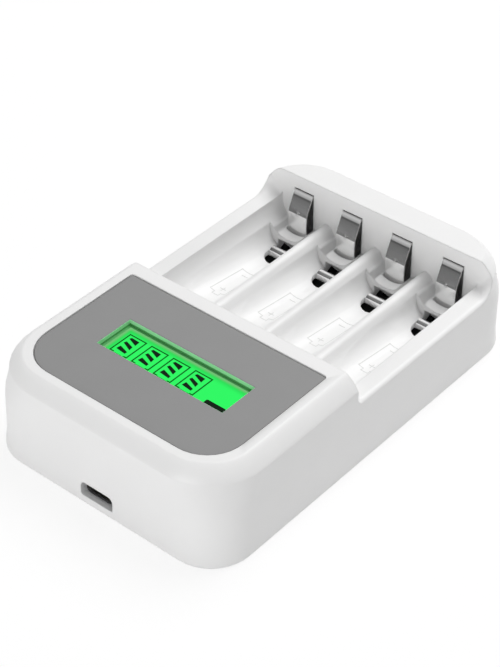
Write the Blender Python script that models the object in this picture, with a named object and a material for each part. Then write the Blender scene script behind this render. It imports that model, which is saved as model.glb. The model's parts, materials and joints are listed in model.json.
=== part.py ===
"""Four-bay charger for AA and AAA cells, with a display deck and a USB-C inlet.

Metres, +Z up. The origin is the centre of the footprint on the surface it stands on.
-Y is the display end with the inlet, +Y is the head with the sprung contacts.
"""

import math

import bmesh
import bpy

# Clearances
FIT = 0.0003
THROUGH = 0.004

# Case, outside
CASE_WIDTH = 0.0734
CASE_LENGTH = 0.1167
CASE_HEIGHT = 0.0275
CORNER_RADIUS = 0.0125
CORNER_FOOT_RADIUS = 0.0113
CORNER_FOOT_HEIGHT = 0.0060
CORNER_TOP_RADIUS = 0.0157
CORNER_INNER_RADIUS = 0.0127
CORNER_TOP_DEPTH = 0.0075
BAND_WIDTH = 0.0040
BAND_HEIGHT = 0.0040
FRONT_BAND_WIDTH = 0.0033
REAR_BAND_WIDTH = 0.0034
BAND_POWER = 1.25
FOOT_FILLET = 0.0012
WALL_DRAFT = 0.0002
FRONT_DRAFT = 0.00095
CORNER_STEPS = 9

# Case, walls
SIDE_WALL = 0.0020
DECK_THICKNESS = 0.0018
FLOOR_SKIN = 0.0013
HEAD_WALL = 0.0015
DECK_REAR_WALL = 0.0018
HEAD_ROOF = 0.0033

# Battery bays
BAY_COUNT = 4
RAIL_WIDTH = 0.0053
DIVIDER_WAIST = 0.0012
AAA_SIDE_STEP = 0.0013
AA_FLOOR_HEIGHT = 0.0116
AAA_FLOOR_HEIGHT = 0.0075
AAA_RAMP_START = 0.0118
DIVIDER_TOP = 0.0165
DECK_LENGTH = 0.05046
HEAD_DEPTH = 0.01114
LEDGE_LENGTH = 0.0067
ARC_STEPS = 18

# Side rails
RAIL_TOP = 0.0197
RAIL_EDGE_RADIUS = 0.0015
RAIL_FOOT_RADIUS = 0.0025
RAIL_RISE_INNER_RADIUS = 0.0010
RAIL_RISE_OUTER_RADIUS = 0.0060
RAIL_OVERLAP = 0.0005

# Display panel and display
PANEL_SIDE_RIM = 0.0065
PANEL_FRONT_RIM = 0.00656
PANEL_THICKNESS = 0.0012
PANEL_SINK = 0.0002
PANEL_REAR_RIM = 0.0043
PANEL_FRONT_RADIUS = 0.0100
PANEL_REAR_RADIUS = 0.0006
WINDOW_WIDTH = 0.0389
WINDOW_LENGTH = 0.0116
WINDOW_OFFSET_X = 0.0006
WINDOW_FROM_PANEL_REAR = 0.0130
GLASS_OVERLAP = 0.0025
GLASS_THICKNESS = 0.0018
GLASS_DROP = 0.0016
BACKLIGHT_THICKNESS = 0.0037
DISPLAY_BOARD_MARGIN = 0.0055
BOARD_THICKNESS = 0.0016
DISPLAY_POST_RADIUS = 0.0015
DISPLAY_POST_INSET = 0.0026

# Main board
BOARD_HEIGHT = 0.0040
BOARD_EDGE_GAP = 0.0010
BOARD_NOTCH = 0.0052
BOARD_REAR_GAP = 0.0008

# Base plate and screws
BASE_THICKNESS = 0.0018
WELL_RADIUS = 0.0036
WELL_FLOOR = 0.0017
BOSS_RADIUS = 0.0030
SCREW_HEAD_RADIUS = 0.0022
SCREW_HEAD_HEIGHT = 0.0015
SCREW_RADIUS = 0.0011
SCREW_LENGTH = 0.0100
SCREW_HEAD_SINK = 0.0005
FRONT_SCREW_SIDE = 0.0092
FRONT_SCREW_INSET = 0.00915
REAR_SCREW_INSET = 0.00695
POST_RADIUS = 0.0015
POST_SPREAD = 0.0160

# USB-C inlet
INLET_WIDTH = 0.0100
INLET_HEIGHT = 0.0039
INLET_TOP_RADIUS = 0.0015
INLET_FOOT_RADIUS = 0.0006
SHELL_WIDTH = 0.00894
SHELL_HEIGHT = 0.00326
SHELL_GAUGE = 0.0003
SHELL_LENGTH = 0.0073
SHELL_RECESS = 0.0012
TONGUE_WIDTH = 0.0067
TONGUE_THICKNESS = 0.0007
TONGUE_RECESS = 0.0012
SHELL_EAR = 0.0018

# Sheet contacts
SHEET = 0.00035
LEAF_WIDTH = 0.0060
SLOT_GAP = 0.0002
AA_BEND_STAND_OFF = 0.0028
AA_BEND_HEIGHT = 0.0176
AA_TIP_HEIGHT = 0.0232
AA_WINDOW_TOP = 0.0236
AA_SLOT_MARGIN = 0.0008
AAA_BEND_STAND_OFF = 0.0038
AAA_BEND_HEIGHT = 0.0090
AAA_TIP_HEIGHT = 0.0096
AAA_FOOT_STAND_OFF = 0.0019
AAA_SLOT_LENGTH = 0.0079
AAA_SLOT_TOP = 0.0105
LEAF_FOOT_DEPTH = 0.0012
PIVOT_HEIGHT = 0.0048
FOOT_GAP = 0.0005
PLUS_WIDTH = 0.0064
PLUS_STAND_OFF = 0.0026
PLUS_FACE_LOW = 0.0146
PLUS_FACE_HIGH = 0.0206
PLUS_WINDOW_MARGIN = 0.0008
PLUS_LEG_SET_BACK = 0.0015
DIMPLE_RADIUS = 0.0007
DIMPLE_RISE = 0.0002

# Parts on the boards
CHIP_SIZE = (0.0100, 0.0100, 0.0012)
CONVERTER_SIZE = (0.0050, 0.0040, 0.0015)
TRANSISTOR_SIZE = (0.0066, 0.0062, 0.0023)
TRANSISTOR_GAP = 0.0010
INDUCTOR_SIZE = 0.0070
INDUCTOR_HEIGHT = 0.0045
CAPACITOR_RADIUS = 0.00315
CAPACITOR_HEIGHT = 0.0060
HEADER_PINS = 6
HEADER_PITCH = 0.00254
HEADER_DEPTH = 0.0025
HEADER_STRIP = 0.0025
PIN_SIZE = 0.00064
CHIP_CHAMFER = 0.0002

# Sizes that follow from those above
HALF_WIDTH = CASE_WIDTH / 2
HALF_LENGTH = CASE_LENGTH / 2
DECK_REAR_Y = -HALF_LENGTH + DECK_LENGTH
HEAD_FACE_Y = HALF_LENGTH - HEAD_DEPTH
AAA_STEP_Y = HEAD_FACE_Y - LEDGE_LENGTH
BAY_LENGTH = HEAD_FACE_Y - DECK_REAR_Y
BAY_SIDE_X = HALF_WIDTH - RAIL_WIDTH
BAY_PITCH = (2 * BAY_SIDE_X + DIVIDER_WAIST) / BAY_COUNT
BAY_CENTRES = [(i - (BAY_COUNT - 1) / 2) * BAY_PITCH for i in range(BAY_COUNT)]
AA_CHANNEL_RADIUS = (BAY_PITCH - DIVIDER_WAIST) / 2
AA_AXIS_HEIGHT = AA_FLOOR_HEIGHT + AA_CHANNEL_RADIUS
AAA_CHANNEL_RADIUS = AA_CHANNEL_RADIUS - AAA_SIDE_STEP
AAA_RAMP_LENGTH = AAA_STEP_Y - DECK_REAR_Y - AAA_RAMP_START
AAA_FLOOR_SLOPE = (AA_FLOOR_HEIGHT - AAA_FLOOR_HEIGHT) / AAA_RAMP_LENGTH
BOARD_TOP = BOARD_HEIGHT + BOARD_THICKNESS
WALL_TOP = CASE_HEIGHT - BAND_HEIGHT
PANEL_TOP = CASE_HEIGHT - PANEL_SINK
PANEL_BOTTOM = PANEL_TOP - PANEL_THICKNESS
PANEL_HALF_WIDTH = HALF_WIDTH - PANEL_SIDE_RIM
PANEL_REAR_Y = DECK_REAR_Y - PANEL_REAR_RIM
PANEL_FRONT_Y = -HALF_LENGTH + PANEL_FRONT_RIM
WINDOW_REAR_Y = PANEL_REAR_Y - WINDOW_FROM_PANEL_REAR
WINDOW_CENTRE_Y = WINDOW_REAR_Y - WINDOW_LENGTH / 2
RECESS_FLOOR = PANEL_BOTTOM - FIT
DECK_CEILING = RECESS_FLOOR - DECK_THICKNESS
GLASS_TOP = PANEL_TOP - GLASS_DROP
GLASS_BOTTOM = GLASS_TOP - GLASS_THICKNESS
BACKLIGHT_TOP = GLASS_BOTTOM - FIT
BACKLIGHT_BOTTOM = BACKLIGHT_TOP - BACKLIGHT_THICKNESS
DISPLAY_BOARD_TOP = BACKLIGHT_BOTTOM - FIT
DISPLAY_BOARD_BOTTOM = DISPLAY_BOARD_TOP - BOARD_THICKNESS
GLASS_WIDTH = WINDOW_WIDTH + 2 * GLASS_OVERLAP
GLASS_LENGTH = WINDOW_LENGTH + 2 * GLASS_OVERLAP
HEAD_CEILING = CASE_HEIGHT - HEAD_ROOF
WELL_TOP = BASE_THICKNESS + 2 * FIT + WELL_FLOOR
SCREW_SEAT = SCREW_HEAD_SINK + SCREW_HEAD_HEIGHT + FIT
INLET_HEIGHT_Z = BOARD_HEIGHT + BOARD_THICKNESS / 2
FRONT_SCREW_X = HALF_WIDTH - FRONT_SCREW_SIDE
REAR_SCREW_X = (BAY_CENTRES[-1] + BAY_CENTRES[-2]) / 2
SCREW_PLACES = [
    (-FRONT_SCREW_X, -HALF_LENGTH + FRONT_SCREW_INSET),
    (FRONT_SCREW_X, -HALF_LENGTH + FRONT_SCREW_INSET),
    (-REAR_SCREW_X, HALF_LENGTH - REAR_SCREW_INSET),
    (REAR_SCREW_X, HALF_LENGTH - REAR_SCREW_INSET),
]

# Colour, roughness, metallic
FINISHES = {
    "white_gloss": ((0.88, 0.88, 0.89), 0.25, 0.0),
    "grey_panel": ((0.28, 0.28, 0.28), 0.45, 0.0),
    "display_green": ((0.05, 0.93, 0.15), 0.20, 0.0),
    "light_guide": ((0.75, 0.85, 0.75), 0.40, 0.0),
    "board_black": ((0.016, 0.018, 0.017), 0.50, 0.0),
    "chip_black": ((0.02, 0.02, 0.02), 0.50, 0.0),
    "spring_steel": ((0.60, 0.60, 0.60), 0.30, 1.0),
    "zinc_steel": ((0.65, 0.65, 0.66), 0.35, 1.0),
    "can_aluminium": ((0.75, 0.75, 0.76), 0.30, 1.0),
    "ferrite": ((0.10, 0.10, 0.11), 0.60, 0.0),
}


def clear_scene():
    """Remove whatever the start file holds."""
    for item in list(bpy.data.objects):
        bpy.data.objects.remove(item, do_unlink=True)


def material(name):
    """Return the named finish as a Principled material."""
    found = bpy.data.materials.get(name)
    if found:
        return found
    colour, roughness, metallic = FINISHES[name]
    made = bpy.data.materials.new(name)
    made.use_nodes = True
    shader = made.node_tree.nodes["Principled BSDF"]
    shader.inputs["Base Color"].default_value = (*colour, 1.0)
    shader.inputs["Roughness"].default_value = roughness
    shader.inputs["Metallic"].default_value = metallic
    return made


def place(name, bm, finish, origin=(0.0, 0.0, 0.0)):
    """Make an object of a bmesh given in world coordinates, with its origin where asked."""
    bmesh.ops.recalc_face_normals(bm, faces=bm.faces)
    bmesh.ops.translate(bm, verts=bm.verts, vec=[-value for value in origin])
    mesh = bpy.data.meshes.new(name)
    bm.to_mesh(mesh)
    bm.free()
    mesh.shade_smooth()
    mesh.set_sharp_from_angle(angle=math.radians(32))
    mesh.materials.append(material(finish))
    made = bpy.data.objects.new(name, mesh)
    made.location = origin
    bpy.context.scene.collection.objects.link(made)
    return made


def helper(name, bm):
    """Make a hidden cutter or addition for a Boolean."""
    tool = place(name, bm, "white_gloss")
    tool.hide_render = True
    tool.display_type = "WIRE"
    return tool


def boolean(target, name, shapes, operation="DIFFERENCE"):
    """Cut the target with all the shapes at once, or join them to it, as hidden helpers."""
    group = bpy.data.collections.new(f"{target.name}_{name}")
    bpy.context.scene.collection.children.link(group)
    for index, shape in enumerate(shapes, 1):
        tool = shape
        if isinstance(shape, bmesh.types.BMesh):
            tool = helper(f"{target.name}_{name}_{index}", shape)
        bpy.context.scene.collection.objects.unlink(tool)
        group.objects.link(tool)
    step = target.modifiers.new(name, "BOOLEAN")
    step.operand_type = "COLLECTION"
    step.collection = group
    step.operation = operation
    step.solver = "EXACT"


def cut(target, name, *shapes):
    """Cut the target with shapes given as bmeshes or helpers."""
    boolean(target, name, shapes)


def join(target, name, *shapes):
    """Join shapes given as bmeshes to the target."""
    boolean(target, name, shapes, "UNION")


def loft(rings):
    """Skin rings of equal length and close both ends."""
    bm = bmesh.new()
    rows = [[bm.verts.new(point) for point in ring] for ring in rings]
    count = len(rows[0])
    for lower, upper in zip(rows, rows[1:]):
        for i in range(count):
            j = (i + 1) % count
            bm.faces.new((lower[i], lower[j], upper[j], upper[i]))
    bm.faces.new(rows[0])
    bm.faces.new(rows[-1])
    return bm


def prism_z(outline, low, high):
    """Extrude an XY outline from one height to another."""
    return loft([[(x, y, z) for x, y in outline] for z in (low, high)])


def prism_y(outline, start, end):
    """Extrude an XZ outline along Y."""
    return loft([[(x, y, z) for x, z in outline] for y in (start, end)])


def prism_x(outline, start, end):
    """Extrude a YZ outline along X."""
    return loft([[(x, y, z) for y, z in outline] for x in (start, end)])


def block(low, high):
    """Return a box between two corners."""
    outline = [(low[0], low[1]), (high[0], low[1]), (high[0], high[1]), (low[0], high[1])]
    return prism_z(outline, low[2], high[2])


def arc(centre, radius, start, end, steps):
    """Return points on an arc, both ends included, angles in degrees."""
    points = []
    for i in range(steps + 1):
        angle = math.radians(start + (end - start) * i / steps)
        points.append((centre[0] + radius * math.cos(angle), centre[1] + radius * math.sin(angle)))
    return points


def disc(centre, radius, steps=24):
    """Return a closed circle as an outline."""
    return arc(centre, radius, 0, 360 - 360 / steps, steps - 1)


def rounded_outline(low, high, radii, steps=CORNER_STEPS):
    """Return a rounded rectangle. The radii run lower left, lower right, upper right, upper left."""
    corners = [
        ((low[0], low[1]), (1, 1), 180),
        ((high[0], low[1]), (-1, 1), 270),
        ((high[0], high[1]), (-1, -1), 0),
        ((low[0], high[1]), (1, -1), 90),
    ]
    points = []
    for (corner, way, start), radius in zip(corners, radii):
        centre = (corner[0] + way[0] * radius, corner[1] + way[1] * radius)
        points += arc(centre, radius, start, start + 90, steps)
    return points


def case_outline(inset, radius=CORNER_RADIUS, front=None, rear=None):
    """Return the case's plan outline, moved in by the inset, or by more or less at its ends."""
    half_x = HALF_WIDTH - inset
    front_y = -HALF_LENGTH + (inset if front is None else front)
    rear_y = HALF_LENGTH - (inset if rear is None else rear)
    return rounded_outline((-half_x, front_y), (half_x, rear_y), [radius - inset] * 4)


def inner_outline(gap=0.0):
    """Return the plan outline of the inside of the case's walls, moved in by a clearance."""
    return case_outline(SIDE_WALL + gap, CORNER_INNER_RADIUS + SIDE_WALL)


def clip_y(outline, limit, keep_above):
    """Keep the part of a convex XY outline on one side of a line across it."""
    kept = []
    for i, point in enumerate(outline):
        previous = outline[i - 1]
        inside = (point[1] > limit) == keep_above
        was_inside = (previous[1] > limit) == keep_above
        if inside != was_inside:
            share = (limit - previous[1]) / (point[1] - previous[1])
            kept.append((previous[0] + share * (point[0] - previous[0]), limit))
        if inside:
            kept.append(point)
    return kept


def smooth(share):
    """Return an eased step from 0 to 1 over the share, held at both ends."""
    held = min(1.0, max(0.0, share))
    return 3 * held**2 - 2 * held**3


def wall_corner_radius(height):
    """Return the plan radius of the case's corners, tight at the foot and open under the band."""
    foot = smooth(1 - height / CORNER_FOOT_HEIGHT)
    top = smooth((height - WALL_TOP + CORNER_TOP_DEPTH) / CORNER_TOP_DEPTH)
    low = CORNER_RADIUS + (CORNER_FOOT_RADIUS - CORNER_RADIUS) * foot
    return low + (CORNER_TOP_RADIUS - CORNER_RADIUS) * top


def case_rings():
    """Return the outer case as rings: foot fillet, drafted wall, rounded band."""
    rings = []
    for i in range(4):
        angle = math.radians(30 * i)
        inset = FOOT_FILLET * (1 - math.sin(angle))
        height = FOOT_FILLET * (1 - math.cos(angle))
        rings.append((height, inset, inset, inset))
    for i in range(1, 4):
        rings.append((CORNER_FOOT_HEIGHT * i / 3, 0.0, 0.0, 0.0))
    for i in range(4):
        rings.append((WALL_TOP - CORNER_TOP_DEPTH * (1 - i / 4), 0.0, 0.0, 0.0))
    rings = [
        (z, side + WALL_DRAFT * z / WALL_TOP, front + FRONT_DRAFT * z / WALL_TOP, rear)
        for z, side, front, rear in rings
    ]
    band_steps = 8
    for i in range(band_steps + 1):
        angle = math.radians(90 * i / band_steps)
        inward = 1 - abs(math.cos(angle)) ** (2 / BAND_POWER)
        up = abs(math.sin(angle)) ** (2 / BAND_POWER)
        side = WALL_DRAFT + (BAND_WIDTH - WALL_DRAFT) * inward
        front = FRONT_DRAFT + FRONT_BAND_WIDTH * inward
        rings.append((WALL_TOP + BAND_HEIGHT * up, side, front, REAR_BAND_WIDTH * inward))
    made = []
    for z, side, front, rear in rings:
        outline = case_outline(side, wall_corner_radius(min(z, WALL_TOP)), front, rear)
        made.append([(x, y, z) for x, y in outline])
    return made


def divider_cap():
    """Return the radius and centre height of a divider's round top, tangent to both AA channels."""
    half = BAY_PITCH / 2
    drop = AA_AXIS_HEIGHT - DIVIDER_TOP
    radius = (half**2 + drop**2 - AA_CHANNEL_RADIUS**2) / (2 * (AA_CHANNEL_RADIUS - drop))
    return radius, DIVIDER_TOP - radius


def bay_section():
    """Return the XZ section cut for all the bays: AA troughs joined over round-topped dividers."""
    cap_radius, cap_height = divider_cap()
    lean = math.degrees(math.atan2(AA_AXIS_HEIGHT - cap_height, BAY_PITCH / 2))
    section = [(-BAY_SIDE_X, CASE_HEIGHT + THROUGH)]
    for i, centre in enumerate(BAY_CENTRES):
        start = 180 if i == 0 else 180 + lean
        end = 360 if i == BAY_COUNT - 1 else 360 - lean
        section += arc((centre, AA_AXIS_HEIGHT), AA_CHANNEL_RADIUS, start, end, ARC_STEPS)
        if i < BAY_COUNT - 1:
            cap = (centre + BAY_PITCH / 2, cap_height)
            section += arc(cap, cap_radius, 180 - lean, lean, 8)[1:-1]
    section.append((BAY_SIDE_X, CASE_HEIGHT + THROUGH))
    return section


def aaa_floor(y):
    """Return the height of the lowest line of the AAA channel, which climbs towards the deck."""
    return AAA_FLOOR_HEIGHT + AAA_FLOOR_SLOPE * (AAA_STEP_Y - y)


def aaa_channel(centre):
    """Return the cutter of one AAA channel, a trough that fades out before the deck."""
    rings = []
    lid = AA_AXIS_HEIGHT + AAA_CHANNEL_RADIUS / 2
    for y in (DECK_REAR_Y + FIT, AAA_STEP_Y):
        axis = (centre, aaa_floor(y) + AAA_CHANNEL_RADIUS)
        trough = arc(axis, AAA_CHANNEL_RADIUS, 180, 360, ARC_STEPS)
        top = [(centre + AAA_CHANNEL_RADIUS, lid), (centre - AAA_CHANNEL_RADIUS, lid)]
        rings.append([(x, y, z) for x, z in trough + top])
    return loft(rings)


def rail_profile(rise_radius):
    """Return the YZ line over a side rail: down the deck wall, along the rail, up the head face."""
    foot = (DECK_REAR_Y + RAIL_FOOT_RADIUS, RAIL_TOP + RAIL_FOOT_RADIUS)
    rise = (HEAD_FACE_Y - rise_radius, RAIL_TOP + rise_radius)
    line = [(DECK_REAR_Y, CASE_HEIGHT + THROUGH)]
    line += arc(foot, RAIL_FOOT_RADIUS, 180, 270, 5)
    line += arc(rise, rise_radius, 270, 360, 8)
    line.append((HEAD_FACE_Y, CASE_HEIGHT + THROUGH))
    return line


def rail_cutter(side):
    """Return the cutter over one side rail, with its rounded outer edge and its sweep up to the head."""
    edge = HALF_WIDTH - RAIL_EDGE_RADIUS
    steps = 5
    stations = [BAY_SIDE_X - RAIL_OVERLAP]
    stations += [BAY_SIDE_X + (edge - BAY_SIDE_X) * i / steps for i in range(steps + 1)]
    stations += [edge + RAIL_EDGE_RADIUS * math.sin(math.radians(22.5 * i)) for i in range(1, 5)]
    stations.append(HALF_WIDTH + THROUGH)
    rings = []
    for x in stations:
        over = min(RAIL_EDGE_RADIUS, max(0.0, x - edge))
        drop = RAIL_EDGE_RADIUS - math.sqrt(RAIL_EDGE_RADIUS**2 - over**2)
        sweep = smooth((x - BAY_SIDE_X) / (HALF_WIDTH - BAY_SIDE_X))
        radius = RAIL_RISE_INNER_RADIUS + (RAIL_RISE_OUTER_RADIUS - RAIL_RISE_INNER_RADIUS) * sweep
        low = [(y, z - drop if z < CASE_HEIGHT else z) for y, z in rail_profile(radius)]
        rings.append([(side * x, y, z) for y, z in low])
    return loft(rings)


def underside_height(x, y):
    """Return how high the hollow under the bays reaches, one skin below the troughs."""
    reach = RAIL_TOP - FLOOR_SKIN
    for centre in BAY_CENTRES:
        for radius, axis in (
            (AA_CHANNEL_RADIUS + FLOOR_SKIN, AA_AXIS_HEIGHT),
            (AAA_CHANNEL_RADIUS + FLOOR_SKIN, aaa_floor(y) + AAA_CHANNEL_RADIUS),
        ):
            if radius < AA_CHANNEL_RADIUS + FLOOR_SKIN and y > AAA_STEP_Y + FLOOR_SKIN:
                continue
            offset = abs(x - centre)
            if offset < radius:
                reach = min(reach, axis - math.sqrt(radius**2 - offset**2))
    return reach


def bay_hollow(start, end, stations):
    """Return the cutter of the hollow under the bays between two Y places."""
    half = HALF_WIDTH - SIDE_WALL
    rings = []
    for i in range(stations):
        y = start + (end - start) * i / (stations - 1)
        samples = [-half + 2 * half * j / 56 for j in range(57)]
        top = [(x, y, underside_height(x, min(max(y, start + FIT), end - FIT))) for x in samples]
        rings.append(top + [(half, y, -THROUGH), (-half, y, -THROUGH)])
    return loft(rings)


def make_upper_housing():
    """Make the upper moulding: case walls, deck, head, rails and the bay troughs."""
    housing = place("upper_housing", loft(case_rings()), "white_gloss")
    inner = inner_outline()
    deck_inner = clip_y(inner, DECK_REAR_Y - DECK_REAR_WALL, False)
    head_inner = clip_y(inner, HEAD_FACE_Y + HEAD_WALL, True)
    step = AAA_STEP_Y + FLOOR_SKIN
    deck_hollow = helper("deck_hollow", prism_z(deck_inner, -THROUGH, DECK_CEILING))
    head_hollow = helper("head_hollow", prism_z(head_inner, -THROUGH, HEAD_CEILING))
    deck_bosses, head_bosses, bores = housing_bosses()
    cut(deck_hollow, "bosses", *deck_bosses)
    cut(head_hollow, "bosses", *head_bosses)
    hollows = [
        deck_hollow,
        head_hollow,
        bay_hollow(DECK_REAR_Y - 2 * DECK_REAR_WALL, step, 6),
        bay_hollow(step - FIT, HEAD_FACE_Y + HEAD_WALL + FIT, 2),
    ]
    troughs = [aaa_channel(centre) for centre in BAY_CENTRES]
    bays = prism_y(bay_section(), DECK_REAR_Y, HEAD_FACE_Y)
    inlet = prism_y(inlet_outline(), -HALF_LENGTH - THROUGH, -HALF_LENGTH + THROUGH)
    openings = contact_openings()
    seats = panel_seat()
    rails = [rail_cutter(-1), rail_cutter(1)]
    cut(housing, "hollow", *hollows, bays, *troughs, *rails, *openings, *seats, inlet, *bores)
    return housing


def contact_openings():
    """Return the cutters of each leaf's slot and window and of each fixed contact's window."""
    half = LEAF_WIDTH / 2 + SLOT_GAP
    plus = PLUS_WIDTH / 2 + FIT
    low = BOARD_TOP + FIT
    made = []
    for centre in BAY_CENTRES:
        front = HEAD_FACE_Y - AA_BEND_STAND_OFF - AA_SLOT_MARGIN
        back = HEAD_FACE_Y + 2 * HEAD_WALL
        made.append(block((centre - half, front, low), (centre + half, back, AA_WINDOW_TOP)))
        back = AAA_STEP_Y + 2 * FLOOR_SKIN
        slot = arc((centre, AAA_STEP_Y - AAA_SLOT_LENGTH + half), half, 180, 360, 10)
        slot += [(centre + half, back), (centre - half, back)]
        made.append(prism_z(slot, low, AAA_SLOT_TOP))
        window_low = PLUS_FACE_LOW - PLUS_WINDOW_MARGIN
        window_high = PLUS_FACE_HIGH + PLUS_WINDOW_MARGIN
        front = DECK_REAR_Y - 2 * DECK_REAR_WALL
        back = DECK_REAR_Y + THROUGH / 2
        made.append(block((centre - plus, front, window_low), (centre + plus, back, window_high)))
    return made


def panel_outline(grow):
    """Return the display panel's outline, grown by a clearance."""
    low = (-PANEL_HALF_WIDTH - grow, PANEL_FRONT_Y - grow)
    high = (PANEL_HALF_WIDTH + grow, PANEL_REAR_Y + grow)
    front = PANEL_FRONT_RADIUS + grow
    rear = PANEL_REAR_RADIUS + grow
    return rounded_outline(low, high, [front, front, rear, rear])


def display_box(width, length, low, high):
    """Return a box centred under the window."""
    x0 = WINDOW_OFFSET_X - width / 2
    y0 = WINDOW_CENTRE_Y - length / 2
    return block((x0, y0, low), (x0 + width, y0 + length, high))


def panel_seat():
    """Return the cutters of the panel's recess and of the opening for the display under it."""
    recess = prism_z(panel_outline(FIT), RECESS_FLOOR, CASE_HEIGHT + THROUGH)
    low = DECK_CEILING - THROUGH
    opening = display_box(GLASS_WIDTH + 2 * FIT, GLASS_LENGTH + 2 * FIT, low, CASE_HEIGHT)
    return [recess, opening]


def inlet_outline():
    """Return the inlet opening in the front wall, as an XZ outline."""
    low = (-INLET_WIDTH / 2, INLET_HEIGHT_Z - INLET_HEIGHT / 2)
    high = (INLET_WIDTH / 2, INLET_HEIGHT_Z + INLET_HEIGHT / 2)
    radii = [INLET_FOOT_RADIUS, INLET_FOOT_RADIUS, INLET_TOP_RADIUS, INLET_TOP_RADIUS]
    return rounded_outline(low, high, radii, 4)


def display_post_places():
    """Return where the posts for the display board stand."""
    half_x = GLASS_WIDTH / 2 + DISPLAY_POST_INSET
    half_y = GLASS_LENGTH / 2 + DISPLAY_POST_INSET
    return [
        (WINDOW_OFFSET_X + sx * half_x, WINDOW_CENTRE_Y + sy * half_y) for sx in (-1, 1) for sy in (-1, 1)
    ]


def housing_bosses():
    """Return what stays standing in the deck hollow and in the head hollow, and the bores."""
    overlap = DECK_THICKNESS / 2
    deck = []
    head = []
    bores = []
    for x, y in SCREW_PLACES:
        kept, ceiling = (deck, DECK_CEILING) if y < 0 else (head, HEAD_CEILING)
        kept.append(prism_z(disc((x, y), BOSS_RADIUS), WELL_TOP + FIT, ceiling + overlap))
        bores.append(prism_z(disc((x, y), SCREW_RADIUS + FIT, 16), 0.0, SCREW_SEAT + SCREW_LENGTH + FIT))
    for x, y in display_post_places():
        post = disc((x, y), DISPLAY_POST_RADIUS, 12)
        deck.append(prism_z(post, DISPLAY_BOARD_TOP + FIT, DECK_CEILING + overlap))
    return deck, head, bores


def make_base_cover():
    """Make the base plate with its screw wells and board posts."""
    outline = inner_outline(FIT)
    base = place("base_cover", prism_z(outline, 0.0, BASE_THICKNESS), "white_gloss")
    root = BASE_THICKNESS / 2
    raised = [prism_z(disc(spot, WELL_RADIUS), root, WELL_TOP) for spot in SCREW_PLACES]
    for spot in board_post_places():
        raised.append(prism_z(disc(spot, POST_RADIUS, 12), root, BOARD_HEIGHT - FIT))
    join(base, "raised", *raised)
    holes = []
    for spot in SCREW_PLACES:
        holes.append(prism_z(disc(spot, SCREW_HEAD_RADIUS + FIT), -THROUGH, SCREW_SEAT))
        holes.append(prism_z(disc(spot, SCREW_RADIUS + FIT, 16), 0.0, WELL_TOP + THROUGH))
    cut(base, "holes", *holes)
    return base


def board_post_places():
    """Return where the base plate's posts carry the main board."""
    rows = [
        DECK_REAR_Y - DECK_LENGTH / 2,
        DECK_REAR_Y + BAY_LENGTH * 0.2,
        AAA_STEP_Y - AAA_SLOT_LENGTH * 1.5,
    ]
    return [(side * POST_SPREAD, y) for y in rows for side in (-1, 1)]


def make_screw(index, x, y):
    """Make one cross-head base screw."""
    seat = SCREW_SEAT - FIT
    rings = []
    head_low = SCREW_HEAD_SINK
    bevel = SCREW_HEAD_HEIGHT / 4
    for radius, z in (
        (SCREW_HEAD_RADIUS - bevel, head_low),
        (SCREW_HEAD_RADIUS, head_low + bevel),
        (SCREW_HEAD_RADIUS, seat),
        (SCREW_RADIUS, seat),
        (SCREW_RADIUS, seat + SCREW_LENGTH - SCREW_RADIUS),
        (SCREW_RADIUS / 3, seat + SCREW_LENGTH),
    ):
        rings.append([(px, py, z) for px, py in disc((x, y), radius, 16)])
    screw = place(f"base_screw_{index}", loft(rings), "zinc_steel", (x, y, 0.0))
    arm = SCREW_HEAD_RADIUS * 0.62
    blade = SCREW_HEAD_RADIUS * 0.13
    depth = head_low + SCREW_HEAD_HEIGHT / 2
    cross = []
    for half_x, half_y in ((arm, blade), (blade, arm)):
        cross.append(block((x - half_x, y - half_y, -THROUGH), (x + half_x, y + half_y, depth)))
    cut(screw, "cross", *cross)
    return screw


def make_display():
    """Make the panel, the display cell, its light guide and its board."""
    panel = place("display_panel", prism_z(panel_outline(0.0), PANEL_BOTTOM, PANEL_TOP), "grey_panel")
    window = display_box(WINDOW_WIDTH, WINDOW_LENGTH, PANEL_BOTTOM - THROUGH, PANEL_TOP + THROUGH)
    cut(panel, "window", window)
    glass = display_box(GLASS_WIDTH, GLASS_LENGTH, GLASS_BOTTOM, GLASS_TOP)
    place("lcd_glass", glass, "display_green")
    guide = display_box(GLASS_WIDTH, GLASS_LENGTH, BACKLIGHT_BOTTOM, BACKLIGHT_TOP)
    bmesh.ops.bevel(guide, geom=guide.edges[:], offset=2 * CHIP_CHAMFER, segments=1, affect="EDGES")
    place("backlight", guide, "light_guide")
    board = display_box(
        GLASS_WIDTH + 2 * DISPLAY_BOARD_MARGIN,
        GLASS_LENGTH + 2 * DISPLAY_BOARD_MARGIN,
        DISPLAY_BOARD_BOTTOM,
        DISPLAY_BOARD_TOP,
    )
    place("display_board", board, "board_black")


def main_board_outline():
    """Return the main board's outline with corner notches for the front bosses and one for the inlet."""
    half = HALF_WIDTH - SIDE_WALL - BOARD_EDGE_GAP
    front = -HALF_LENGTH + SIDE_WALL + BOARD_EDGE_GAP
    rear = HALF_LENGTH - REAR_SCREW_INSET - WELL_RADIUS - BOARD_REAR_GAP
    notch_x = FRONT_SCREW_X - BOARD_NOTCH
    notch_y = SCREW_PLACES[0][1] + BOARD_NOTCH
    slot = SHELL_WIDTH / 2 + FIT
    slot_rear = -HALF_LENGTH + SHELL_RECESS + SHELL_LENGTH + FIT
    right = [(slot, slot_rear), (slot, front), (notch_x, front), (notch_x, notch_y), (half, notch_y)]
    right.append((half, rear))
    return right + [(-x, y) for x, y in reversed(right)]


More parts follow.
